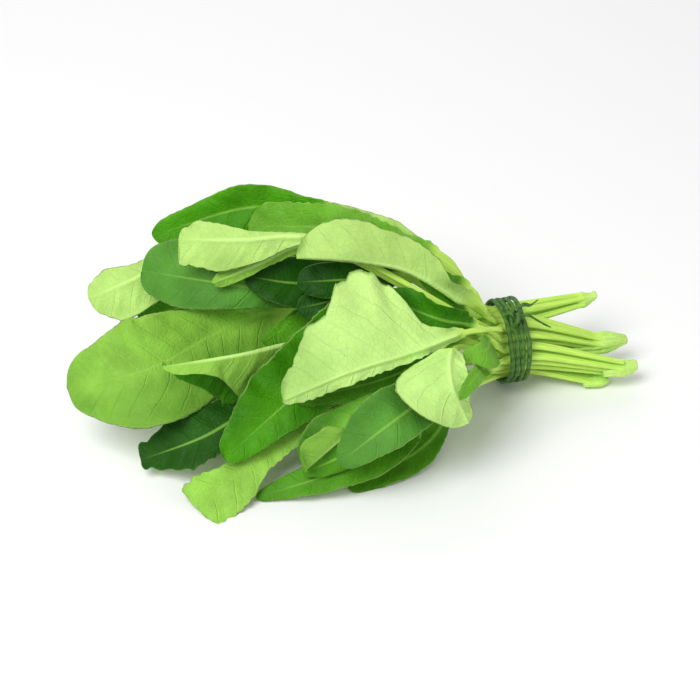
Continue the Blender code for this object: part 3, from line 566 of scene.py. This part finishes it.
def leafPaint(name, upper, under, phase, shadeTones):
    p = Paint(name + "Leaf")
    place = p.add("ShaderNodeUVMap", dict(uv_map="leafMap"))
    parts = p.add("ShaderNodeSeparateXYZ", {}, (place,))
    run, dist = parts * 100.0, Wire(p, parts.socket.node.outputs[1]) * 100.0
    marks = p.add("ShaderNodeAttribute", dict(attribute_name="leafMarks"))
    split = p.add("ShaderNodeSeparateColor", {}, (marks,))
    top, tipward = split, Wire(p, split.socket.node.outputs[1])
    margin = Wire(p, split.socket.node.outputs[2])
    stalk = Wire(p, marks.socket.node.outputs["Alpha"])
    away = abs(dist)
    side = p.add("ShaderNodeMath", dict(operation="SIGN"), (dist,))
    flat = p.vector(run, dist)
    # side veins run out from the rib and bend towards the tip
    q = (run - away * veins["slant"] - away * away * veins["sag"] + (run * 0.13 + side + phase).sine()
         * veins["wander"] + side * (veins["spacing"] / 4)) / veins["spacing"]
    near = abs((q + p.noise(flat, 0.08) * 0.35).fract() - 0.5)
    vein = near.ramp(0.44, 0.495) * away.ramp(0.6, 3.0) * margin.ramp(1.0, 0.75)
    # fine net between them
    cells = p.add("ShaderNodeTexVoronoi", dict(feature="DISTANCE_TO_EDGE"), dict(Vector=flat, Scale=0.34))
    net = cells.ramp(0.16, 0.0)
    ribWide = 2.0 - tipward * 1.2 - top * 0.5
    smooth = dict(interpolation_type="SMOOTHSTEP")
    rib = p.add("ShaderNodeMapRange", smooth, (away, ribWide, ribWide * 0.35))
    ribZone = away.ramp(9.0, 0.5) * tipward.ramp(0.75, 0.0)
    cloud = p.noise(flat, 0.05, 3.0)
    speckle = p.noise(flat, 0.9, 2.0)
    face = p.mix(cloud.ramp(0.25, 0.80), tinted(upper, 0.78), tinted(upper, 1.22))
    face = p.mix((vein * 0.30 + net * 0.08).clamped(), face, tinted(upper, 1.7, 0.006))
    face = p.mix((ribZone * 0.20).clamped(), face, tinted(upper, 1.5, 0.006))
    back = p.mix(cloud.ramp(0.25, 0.80), tinted(under, 0.86), tinted(under, 1.06))
    back = p.mix((net * 0.16).clamped(), back, tinted(under, 0.74))
    back = p.mix((vein * 0.55).clamped(), back, tinted(under, 1.12, 0.03))
    colour = p.mix(top, back, face)
    # broad darker patches at random, and painted shade over the halves and the tip
    patch = p.noise(p.vector(run + phase * 40, dist), 0.024, 2.0).ramp(0.42, 0.66) * (0.12 + top * 0.16)
    edgeward = away.ramp(2.0, 12.0)
    patchesAndShade = side.ramp(-1.0, 1.0) * edgeward * shadeTones[0] + side.ramp(1.0, -1.0) * edgeward * shadeTones[1]
    patchesAndShade = patchesAndShade + tipward.ramp(0.55, 0.95) * shadeTones[2] + patch
    # the halves and the tip are darkened towards this painted shade colour
    colour = p.mix(patchesAndShade.clamped(), colour, (upper[0] * 0.32, upper[1] * 0.46, upper[2] * 0.25))
    colour = p.mix((margin.ramp(0.955, 1.0) * 0.45).clamped(), colour, greens["pale"])
    ribColour = p.mix(top, greens["rib"], greens["soft"])
    colour = p.mix((rib * (0.9 - top * 0.3) * tipward.ramp(1.05, 0.55)).clamped(), colour, ribColour)
    fibre = p.noise(p.vector(run * 0.05, dist * 1.6), 1.0, 3.0)
    stem = p.mix(fibre.ramp(0.35, 0.65), tinted(greens["stalk"], 0.82), greens["stalk"])
    colour = p.mix(stalk, colour, stem)
    height = (vein * (0.5 - top) * 1.1 + net * (0.45 - top) * 0.35 + speckle * 0.25) * (1 - stalk) \
        + fibre * stalk * 0.5
    rough = 0.60 - top * 0.14 + speckle * 0.10 - stalk * 0.08 + vein * 0.05
    fixed = {"Specular IOR Level": 0.14, "Subsurface Weight": 0.12, "Subsurface Radius": (0.6, 1.0, 0.3),
             "Subsurface Scale": 0.0015}
    return p.finish(colour, rough, height, 0.0007, 0.9, **fixed)


# in millimetres: how far the blade rises and sinks; how thick the blade, its rib and its veins are; and for
# settle, the room left between two leaves, its longest push and the size of its cells
relief = dict(puff=0.75, sink=0.35, ripple=0.9, swell=0.6, form=2.5,
              blade=0.24, ribUp=0.30, ribDown=0.85, veinDown=0.16,
              clear=0.12, furthest=6.0, cell=0.8)
fineRows = (np.linspace(0, 1, 9)[:-1], np.linspace(0, 1, 5)[:-1], np.linspace(0, 1, 17)[:-1],
            np.concatenate([np.linspace(0, 0.9, 70), np.linspace(0.9, 1, 13)[1:]]))
halfAcross = np.array((0.05, 0.11, 0.18, 0.26, 0.35, 0.44, 0.53, 0.62, 0.71, 0.80, 0.88, 0.95, 1.0))
fineAcross = np.concatenate([-halfAcross[::-1], [0.0], halfAcross])


def bilinear(table, place, across):
    coarsePlace = np.concatenate([k + np.asarray(r) for k, r in enumerate(coarseRows)])
    rowwise = np.stack([np.interp(place, coarsePlace, table[:, j]) for j in range(table.shape[1])], 1)
    return np.stack([np.interp(across, coarseAcross, row) for row in rowwise])


def wander(a, b, phase):        # smooth natural unevenness, about -1 to 1
    return (np.sin(a * 1.0 + b * 0.6 + phase) + np.sin(a * 0.53 - b * 1.1 + phase * 1.7)
            + np.sin(a * 1.9 + b * 0.35 - phase)) / 3


def meshObject(name, verts, faces, material):
    mesh = bpy.data.meshes.new(name)
    mesh.from_pydata((np.asarray(verts) * mm + origin).tolist(), [], faces)
    mesh.materials.append(material)
    mesh.shade_smooth()
    obj = bpy.data.objects.new(name, mesh)
    bpy.context.scene.collection.objects.link(obj)
    return obj


def fineLeaf(leaf, lift, number):
    end = np.array(leaf["end"]) + (3.0, 0, 0)          # the stalk grows out of its crown
    s = leafSurface(leaf, end, fineRows, fineAcross, True)
    grid, face, dist, t = s["grid"], s["face"], s["dist"], s["t"]
    rows, places = grid.shape[:2]
    phase = number * 1.37
    v = np.abs(fineAcross)[None, :]
    blade = np.clip(t / 0.08, 0, 1)[:, None]
    run = s["run"][:, None] * np.ones((1, places))
    away = np.abs(dist)
    side = np.sign(fineAcross)[None, :]
    bent = run - away * veins["slant"] - away ** 2 * veins["sag"]
    q = (bent + np.sin(run * 0.13 + side + phase) * veins["wander"]
         + side * veins["spacing"] / 4) / veins["spacing"] - 0.5
    fromVein = np.abs(q - np.round(q)) * veins["spacing"]
    vein = np.exp(-(fromVein / veins["width"]) ** 2) * np.clip(away / 3, 0, 1) * np.clip((1 - v) * 5, 0, 1)
    puff = (1 - np.exp(-(fromVein / 2.6) ** 2)) * np.clip(away / 6, 0, 1) * np.clip((1 - v) * 4, 0, 1)
    ruffle = np.where(side > 0, leaf["ruffle"][0], leaf["ruffle"][1])
    wave = np.sin(run / 4.2 + phase + 1.6 * np.sin(run / 11.0 + side)) + 0.45 * np.sin(run / 2.3 - phase)
    swell = np.where(side > 0, 0.9, 1.1) * wander(run / 9, dist / 9, phase)
    form = wander(run / 17, dist / 15, phase * 2)
    offset = blade * (relief["puff"] * puff - relief["sink"] + ruffle * v ** 2 * wave * relief["ripple"]
                      + relief["swell"] * swell * np.clip(away / 8, 0, 1)
                      + relief["form"] * form * np.clip(away / 14, 0, 1))
    grid = grid + offset[..., None] * face
    grid = grid + bilinear(lift, s["place"], fineAcross)[..., None] * lean
    # the margin is gently toothed
    edge = blade * v ** 6 * leaf.get("teeth", 0.12) * np.sin(run / 1.0 + 2.5 * np.sin(run / 5 + phase))
    outwards = np.gradient(grid, axis=1) * side[..., None]
    outwards /= np.maximum(np.linalg.norm(outwards, axis=2), 1e-9)[..., None]
    grid = grid + edge[..., None] * outwards
    ribTall = np.interp(t, (0, 0.3, 1), (1.9, 1.4, 0.35))[:, None] * leaf.get("ribTall", 1.0)
    ribWide = np.interp(t, (0, 0.3, 1), (1.6, 1.2, 0.6))[:, None]
    bump = np.exp(-(away / ribWide) ** 2)
    stalkRound = np.sqrt(np.clip(1 - v ** 2, 0, 1)) * layout["stalkThick"] / 2 * s["stalk"][:, None] * 0.96
    thin = relief["blade"] * (1 - v ** 4)
    above = np.maximum(stalkRound, blade * (thin + relief["ribUp"] * ribTall * bump))
    below = np.maximum(stalkRound,
                       blade * (thin + relief["ribDown"] * ribTall * bump + relief["veinDown"] * vein))
    groove = np.exp(-(fineAcross / 0.35) ** 2)[None, :] * s["stalk"][:, None] * 0.55
    upper = grid + (above - groove)[..., None] * face
    under = grid - below[..., None] * face
    return dict(leaf=leaf, upper=upper, under=under, run=run, dist=dist, t=t, v=v, place=s["place"],
                stalk=np.clip(1 - t / 0.10, 0, 1), phase=phase)


def blend(w, x):                # value inside each patch from its four corners
    return w[0] * x[:-1, :-1] + w[1] * x[1:, :-1] + w[2] * x[:-1, 1:] + w[3] * x[1:, 1:]


def settle(fine):               # small pushes along lean wherever two fine leaves would still meet
    step = relief["cell"]
    turned = np.stack([sideways, upward, lean])
    spread = np.vstack([f["upper"].reshape(-1, 3) for f in fine]) @ turned.T
    start = np.floor(spread[:, :2].min(0) / step).astype(int) - 12
    size = np.ceil(spread[:, :2].max(0) / step).astype(int) - start + 12
    top = np.full(size, -1e9)
    share = np.linspace(0, 1, 4)[:3]
    for f in fine:
        faces = [f["upper"] @ turned.T, f["under"] @ turned.T]
        depths = [face[..., 2] for face in faces]
        far, near = np.minimum(*depths), np.maximum(*depths)
        seen = (faces[0] + faces[1]) / 2
        need = np.zeros(seen.shape[:2])
        samples = []
        for a in share:
            for b in share:
                w = ((1 - a) * (1 - b), a * (1 - b), (1 - a) * b, a * b)
                middle = np.stack([blend(w, seen[..., k]) for k in (0, 1)], -1)
                cell = np.floor(middle / step).astype(int) - start
                samples.append((w, cell[..., 0], cell[..., 1], blend(w, far), blend(w, near)))
        for w, i, j, d, _ in samples:
            lack = np.maximum(top[i, j] + relief["clear"] - d, 0)
            for p, r in ((0, 0), (1, 0), (0, 1), (1, 1)):
                part = need[p:p + lack.shape[0], r:r + lack.shape[1]]
                np.maximum(part, lack, out=part)
        free = np.clip(f["place"] - 2.1, 0, 1)[:, None]
        lift = smoothLift(np.minimum(need, relief["furthest"]) * free, relief["furthest"], 8)
        f["upper"] = f["upper"] + lift[..., None] * lean
        f["under"] = f["under"] + lift[..., None] * lean
        for w, i, j, _, d in samples:
            np.maximum.at(top, (i, j), d + blend(w, lift))
        f["pushed"] = float(lift.max())


def bothFaces(table):           # values of the upper face, then of the under face inside its margins
    return np.concatenate([table.ravel(), table[:, 1:-1].ravel()])


def leafObject(f):
    leaf, upper, under = f["leaf"], f["upper"], f["under"]
    rows, places = upper.shape[:2]
    inner = places - 2
    rim = (upper[:, (0, -1)] + under[:, (0, -1)]) / 2
    top = upper.copy()
    top[:, (0, -1)] = rim
    verts = np.vstack([top.reshape(-1, 3), under[:, 1:-1].reshape(-1, 3)])
    ids = np.arange(rows * places).reshape(rows, places)
    low = np.hstack([ids[:, :1], rows * places + np.arange(rows * inner).reshape(rows, inner), ids[:, -1:]])
    quads = np.stack([ids[:-1, :-1], ids[:-1, 1:], ids[1:, 1:], ids[1:, :-1]], -1).reshape(-1, 4)
    backs = np.stack([low[:-1, :-1], low[1:, :-1], low[1:, 1:], low[:-1, 1:]], -1).reshape(-1, 4)
    ends = [list(low[0]) + list(ids[0, 1:-1][::-1]), list(ids[-1]) + list(low[-1, 1:-1][::-1])]
    upperColour, underColour = (greens[g] for g in leaf["greens"])
    material = leafPaint(leaf["name"], upperColour, underColour, f["phase"], leaf.get("shadeTones", (0, 0, 0)))
    faces = quads[:, ::-1].tolist() + backs[:, ::-1].tolist() + [list(map(int, e)) for e in ends]
    obj = meshObject(leaf["name"], verts, faces, material)
    wide = np.ones((1, places))
    run, dist = bothFaces(f["run"]), bothFaces(f["dist"])
    isUpper = np.concatenate([np.ones(rows * places), np.zeros(rows * inner)])
    marks = np.stack([isUpper, bothFaces(f["t"][:, None] * wide), bothFaces(np.ones((rows, 1)) * f["v"]),
                      bothFaces(f["stalk"][:, None] * wide)], -1)
    attribute = obj.data.attributes.new("leafMarks", "FLOAT_COLOR", "POINT")
    attribute.data.foreach_set("color", marks.ravel())
    uv = obj.data.uv_layers.new(name="leafMap")
    corner = np.zeros(len(obj.data.loops), int)
    obj.data.loops.foreach_get("vertex_index", corner)
    uv.data.foreach_set("uv", (np.stack([run, dist], -1)[corner] / 100).ravel())
    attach(obj, "root")
    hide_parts("leaf_" + leaf["name"])
    slotOf["leaf_" + leaf["name"]]


slotOf = {part["node"]: part["material_slot"] for part in frame["record"]["subparts"]}
fine = [fineLeaf(leaf, lift, number) for number, (leaf, lift) in enumerate(zip(leaves, lifts))]
settle(fine)
for f in fine:                  # nothing dips into the table
    f["under"][..., 2] = np.maximum(f["under"][..., 2], 0.1)
    f["upper"][..., 2] = np.maximum(f["upper"][..., 2], 0.4)
print("largest small push %.1f mm" % max(f["pushed"] for f in fine))
for f in fine:
    leafObject(f)
print("leaves made")


# skin and cut colours run from the first to the second; warm is the browning of the cut
crownTones = dict(skin=((0.44, 0.74, 0.11), (0.66, 0.92, 0.26)), fleck=(0.30, 0.46, 0.08),
                  cut=((0.62, 0.66, 0.30), (0.78, 0.80, 0.48)), warm=(0.34, 0.18, 0.10))


def crownPaint(name, warm):
    p = Paint(name)
    place = p.add("ShaderNodeUVMap", dict(uv_map="crownMap"))
    parts = p.add("ShaderNodeSeparateXYZ", {}, (place,))
    endward, turn = parts, Wire(p, parts.socket.node.outputs[1])
    flat = p.vector(endward * 6.0, turn * 60.0)
    streak = p.noise(flat, 1.0, 4.0)
    solid = p.noise(p.add("ShaderNodeTexCoord", {}, (), out=3), 260.0, 4.0)
    skin = p.mix(streak.ramp(0.35, 0.68), *crownTones["skin"])
    skin = p.mix((solid.ramp(0.60, 0.78) * 0.2).clamped(), skin, crownTones["fleck"])
    cut = p.mix(solid.ramp(0.3, 0.7), *crownTones["cut"])
    cut = p.mix((solid.ramp(0.48, 0.75) * warm).clamped(), cut, crownTones["warm"])
    colour = p.mix(endward.ramp(0.86, 0.92), skin, cut)
    height = streak * 0.6 + solid * 0.15
    fixed = {"Specular IOR Level": 0.4, "Subsurface Weight": 0.1, "Subsurface Radius": (0.7, 1.0, 0.4),
             "Subsurface Scale": 0.002}
    return p.finish(colour, 0.52 + solid * 0.12, height, 0.0004, 0.6, **fixed)


# swell: (place along the base, share of its half size); lobes: ridges where the stalks grow out;
# pull: how far the tip drifts; warm: how brown the cut is
crownShapes = dict(
    top=dict(swell=((-.8, .45), (0, .74), (.3, .78), (.6, .58), (.8, .44), (.9, .46), (1, .34)),
             lobes=5, deep=.12, pull=(0, 5.0), warm=.3),
    middle=dict(swell=((-.7, .50), (0, .80), (.3, .84), (.6, .68), (.85, .46), (1, .34)),
                lobes=7, deep=.14, pull=(3.0, -4.0), warm=.9),
    front=dict(swell=((-.8, .50), (0, .80), (.3, .84), (.6, .76), (.85, .62), (.93, .60), (1, .48)),
               lobes=6, deep=.12, pull=(0, 2.0), warm=.4),
    low=dict(swell=((-.7, .55), (0, .82), (.4, .92), (.75, .74), (1, .50)),
             lobes=5, deep=.10, pull=(0, .2), warm=.3),
    back=dict(swell=((-.8, .50), (0, .82), (.3, .88), (.6, .80), (.85, .62), (1, .46)),
              lobes=7, deep=.13, pull=(0, 0), warm=.5),
)


def ringFaces(count, around, closed=False):      # skin over a row of rings, with ends unless it is closed
    bands = count if closed else count - 1
    faces = [(i * around + j, i * around + (j + 1) % around, (i + 1) % count * around + (j + 1) % around,
              (i + 1) % count * around + j) for i in range(bands) for j in range(around)]
    if not closed:
        faces += [tuple(range(around))[::-1], tuple((count - 1) * around + j for j in range(around))]
    return faces


def mapOnto(obj, layer, maps):
    uv = obj.data.uv_layers.new(name=layer)
    for loop in obj.data.loops:
        uv.data[loop.index].uv = maps[loop.vertex_index]


def crownObject(name, shape):
    centre, size = crowns[name]
    around, sections = 72, 34
    places = np.linspace(shape["swell"][0][0], 1, sections)
    share = np.interp(places, *zip(*shape["swell"]))
    angle = np.linspace(0, 2 * math.pi, around, endpoint=False)
    verts, maps = [], []
    for place, wide in zip(places, share):
        valley = 1 - np.abs(np.cos(angle * shape["lobes"] / 2 + len(name)))
        lobed = 1 - shape["deep"] * (1 - place * 0.5) * valley + 0.02 * np.sin(angle * 11 + place * 9)
        x = centre[0] + size[0] * (2 * place - 1)
        drift = max(0.0, place - 0.4) ** 2 * np.array(shape["pull"])
        for a, k in zip(angle, wide * lobed):
            verts.append((x, centre[1] + size[1] * k * math.cos(a) + drift[0],
                          centre[2] + size[2] * k * math.sin(a) + drift[1]))
            maps.append((place * 0.85, a / 2 / math.pi))
    last = np.array(verts[-around:])
    middle = last.mean(0)
    for ring, (inset, sink) in enumerate(((0.86, 0.0), (0.62, 0.35), (0.35, 0.10), (0.12, 0.30))):
        for p, a in zip(last, angle):
            q = middle + (p - middle) * inset
            verts.append((q[0] - sink, q[1], q[2]))
            maps.append((0.92 + ring * 0.02, a / 2 / math.pi))
    faces = ringFaces(len(verts) // around, around)
    obj = meshObject(name + "Crown", verts, faces, crownPaint(name + "Base", shape["warm"]))
    mapOnto(obj, "crownMap", maps)
    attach(obj, "root")
    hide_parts("crown_" + name)


for name, shape in crownShapes.items():
    crownObject(name, shape)
print("crowns made")


band = dict(
    greens=((0.018, 0.070, 0.006), (0.070, 0.210, 0.020)), ridge=(0.110, 0.280, 0.045),
    radius=20.6, wide=2.6, thick=1.9, loops=((4.2, 0.4), (1.2, 0.4), (-1.8, 0.4), (-4.8, 0.4)),
    tails=(((-1, -13, 47.5), (4.5, -14, 47.6), (9, -14.5, 44.2), (12.5, -15, 41.5), (16, -16.5, 39.6)),
           ((-1, -10, 49.0), (4.5, -7.5, 49.6), (9, -5, 46.6), (13, -1, 44.8), (16, 1.5, 44.2))),
    tailWide=2.2, tailThick=1.5, strand=1.35,
    knotDown=(0, 0.6, -1.2), knotThick=1.7,          # the knot is drawn down onto the loops
)


def bandPaint():
    p = Paint("bandTwine")
    place = p.add("ShaderNodeUVMap", dict(uv_map="strandMap"))
    parts = p.add("ShaderNodeSeparateXYZ", {}, (place,))
    run, turn = parts * 100.0, Wire(p, parts.socket.node.outputs[1])
    fibre = p.noise(p.vector(run * 0.35, turn * 16.0), 1.0, 4.0)
    lay = (run * 1.5 + turn * 6.283).sine() * 0.5 + 0.5
    colour = p.mix(fibre.ramp(0.3, 0.7), *band["greens"])
    colour = p.mix((lay * 0.35).clamped(), colour, band["ridge"])
    fixed = {"Specular IOR Level": 0.45}
    return p.finish(colour, 0.46 + fibre * 0.2, fibre * 0.6 + lay * 0.8, 0.0005, 0.8, **fixed)


bandTwine = bandPaint()


def strandObject(name, path, node, wide, thick, closed, plies=2, twist=0.35, taper=None):
    # a twisted strand along path: the plies show as ridges that wind round it
    path = np.asarray(path, float)
    count, around = len(path), 20
    ahead = (np.roll(path, -1, 0) - np.roll(path, 1, 0)) if closed else np.gradient(path, axis=0)
    ahead /= np.linalg.norm(ahead, axis=1)[:, None]
    middle = path.mean(0)
    out = path - middle
    out -= (out * ahead).sum(1)[:, None] * ahead
    out /= np.maximum(np.linalg.norm(out, axis=1), 1e-9)[:, None]
    side = np.cross(ahead, out)
    run = np.concatenate([[0], np.cumsum(np.linalg.norm(np.diff(path, axis=0), axis=1))])
    turns = round(run[-1] * twist / math.pi) * math.pi if closed else run[-1] * twist
    verts, maps = [], []
    for i in range(count):
        spin = turns * i / count
        small = 1.0 if taper is None else 1 - taper * (i / (count - 1)) ** 2
        for k in range(around):
            a = 2 * math.pi * k / around
            ridge = 0.80 + 0.20 * abs(math.cos(plies * (a - spin) / 2))
            verts.append(path[i] + side[i] * math.cos(a) * wide / 2 * ridge * small
                         + out[i] * math.sin(a) * thick / 2 * ridge * small)
            maps.append((run[i] / 100, k / around))
    obj = meshObject(name, verts, ringFaces(count, around, closed), bandTwine)
    mapOnto(obj, "strandMap", maps)
    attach(obj, "root")
    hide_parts(node)


angles = np.linspace(0, 2 * math.pi, 200, endpoint=False)
for number, (x, drift) in enumerate(band["loops"], 1):
    wobble = 0.25 * np.sin(angles * 5 + number) + 0.2 * np.sin(angles * 3 - number * 2)
    reach = band["radius"] + wobble
    loop = np.stack([x + drift * np.sin(angles + 0.7) + wobble * 0.6, reach * np.cos(angles),
                     layout["bandHeight"] + reach * np.sin(angles)], -1)
    strandObject("bandLoop%d" % number, loop, "band_loop_%d" % number, band["wide"], band["thick"], True)

low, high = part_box("band_knot")
knotMiddle = (np.array(low) + np.array(high)) / 2 / mm - origin / mm
knotSize = (np.array(high) - np.array(low)) / 2 / mm - band["strand"]
knotMiddle = knotMiddle + band["knotDown"]
a = np.linspace(0, 2 * math.pi, 160, endpoint=False)
knot = np.stack([(np.sin(a) + 2 * np.sin(2 * a)) / 3 * knotSize[0],
                 (np.cos(a) - 2 * np.cos(2 * a)) / 3 * knotSize[1],
                 -np.sin(3 * a) * knotSize[2]], -1) + knotMiddle
knotStrand = band["strand"] * band["knotThick"]
strandObject("bandKnot", knot, "band_knot", knotStrand, knotStrand, True)
for number, path in enumerate(band["tails"], 1):
    line = spaced(smoothLine([np.array(p, float) for p in path], 12), np.linspace(0, 1, 40))
    strandObject("bandTail%d" % number, line, "band_tail_%d" % number,
                 band["tailWide"], band["tailThick"], False, taper=0.7)
print("band made")


studio = dict(azimuth=-17.0, elevation=36.0, distance=1.0, lens=102.86, leftOfBand=0.0785, belowBand=0.005,
              floorColour=(0.93, 0.93, 0.93), keyPower=19.0, fillPower=2.5, rimPower=4.5, worldLight=0.42)


def studioLight(name, where, size, power):
    light = bpy.data.lights.new(name, "AREA")
    light.size, light.energy = size, power
    obj = bpy.data.objects.new(name, light)
    obj.location = where
    obj.rotation_euler = (Vector((-0.02, 0, 0.03)) - Vector(where)).to_track_quat("-Z", "Y").to_euler()
    bpy.context.scene.collection.objects.link(obj)


floorPaint = Paint("paleFloor")
floorGrain = floorPaint.noise(floorPaint.add("ShaderNodeTexCoord", {}, (), out=3), 30.0, 3.0)
floorPaint.finish(floorPaint.mix(floorGrain * 0.1, studio["floorColour"], (1.0, 1.0, 1.0)), 0.9)
mesh = bpy.data.meshes.new("floor")
mesh.from_pydata([(-6, -6, 0), (6, -6, 0), (6, 6, 0), (-6, 6, 0)], [], [(0, 1, 2, 3)])
mesh.materials.append(floorPaint.material)
floor = bpy.data.objects.new("floor", mesh)
bpy.context.scene.collection.objects.link(floor)

studioLight("keyLight", (-0.75, -0.55, 1.25), 0.9, studio["keyPower"])
studioLight("fillLight", (0.9, -0.9, 0.8), 1.2, studio["fillPower"])
studioLight("rimLight", (0.2, 1.2, 0.9), 1.0, studio["rimPower"])
world = bpy.data.worlds.new("studio")
world.use_nodes = True
world.node_tree.nodes["Background"].inputs[0].default_value = (1, 1, 1, 1)
world.node_tree.nodes["Background"].inputs[1].default_value = studio["worldLight"]
bpy.context.scene.world = world
bpy.context.scene.view_settings.view_transform = "Standard"

azimuth, elevation = math.radians(studio["azimuth"]), math.radians(studio["elevation"])
back = Vector((math.sin(azimuth) * math.cos(elevation), -math.cos(azimuth) * math.cos(elevation),
               math.sin(elevation)))
right = Vector((math.cos(azimuth), math.sin(azimuth), 0))
cameraUp = back.cross(right)
aim = Vector(origin) + Vector((0, 0, layout["bandHeight"] * mm)) - right * studio["leftOfBand"] \
    - cameraUp * studio["belowBand"]
cameraData = bpy.data.cameras.new("camera")
cameraData.lens, cameraData.sensor_width = studio["lens"], 36
camera = bpy.data.objects.new("camera", cameraData)
camera.location = aim + back * studio["distance"]
camera.rotation_mode = "QUATERNION"
camera.rotation_quaternion = (-back).to_track_quat("-Z", "Y")
bpy.context.scene.collection.objects.link(camera)
bpy.context.scene.camera = camera
print("studio ready")
